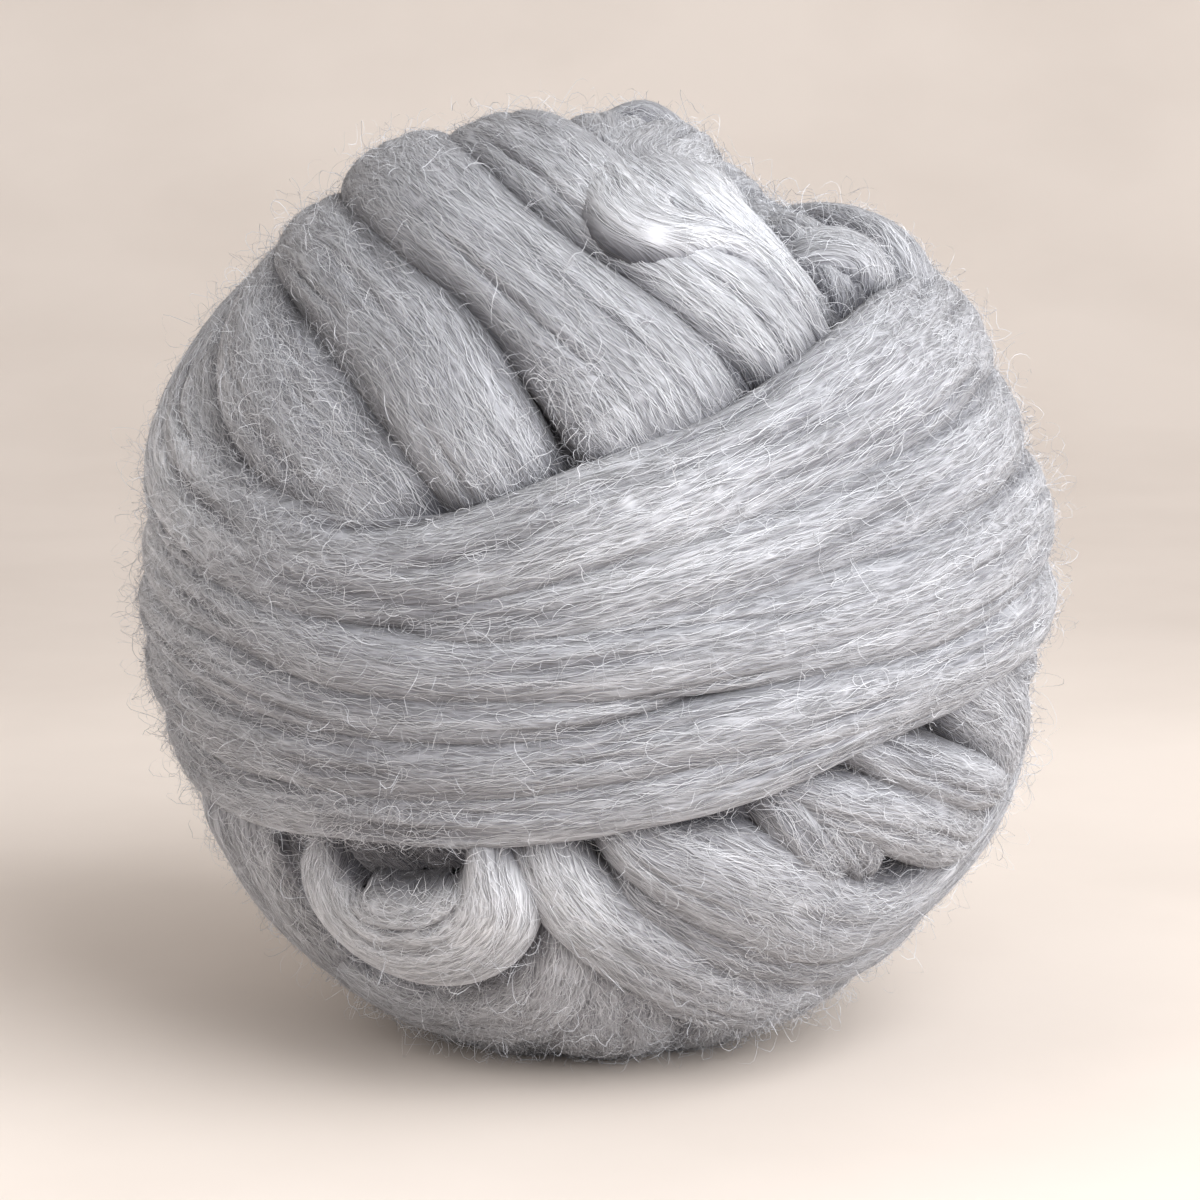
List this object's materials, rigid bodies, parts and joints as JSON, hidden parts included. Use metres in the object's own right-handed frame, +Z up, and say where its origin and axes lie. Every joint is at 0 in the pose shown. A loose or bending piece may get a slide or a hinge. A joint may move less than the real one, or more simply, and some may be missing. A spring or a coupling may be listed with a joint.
{
  "type": "ball of chunky unspun wool yarn",
  "caption": "Hand-wound ball of chunky unspun wool yarn: wide soft turns cross in a belt over sloping turns, resting on a small flat foot.",
  "frame": {"origin": "middle of the flat foot that the ball rests on", "axes": "+Z up; the face that the picture shows looks along -Y; +X to the right of someone who looks at that face"},
  "size_m": [0.258, 0.2607, 0.2619],
  "materials": {
    "wool": "matt, fuzzy combed wool fibre, light grey"
  },
  "bodies": {
    "root": {"wool_ball": "wool"}
  },
  "joints": []
}
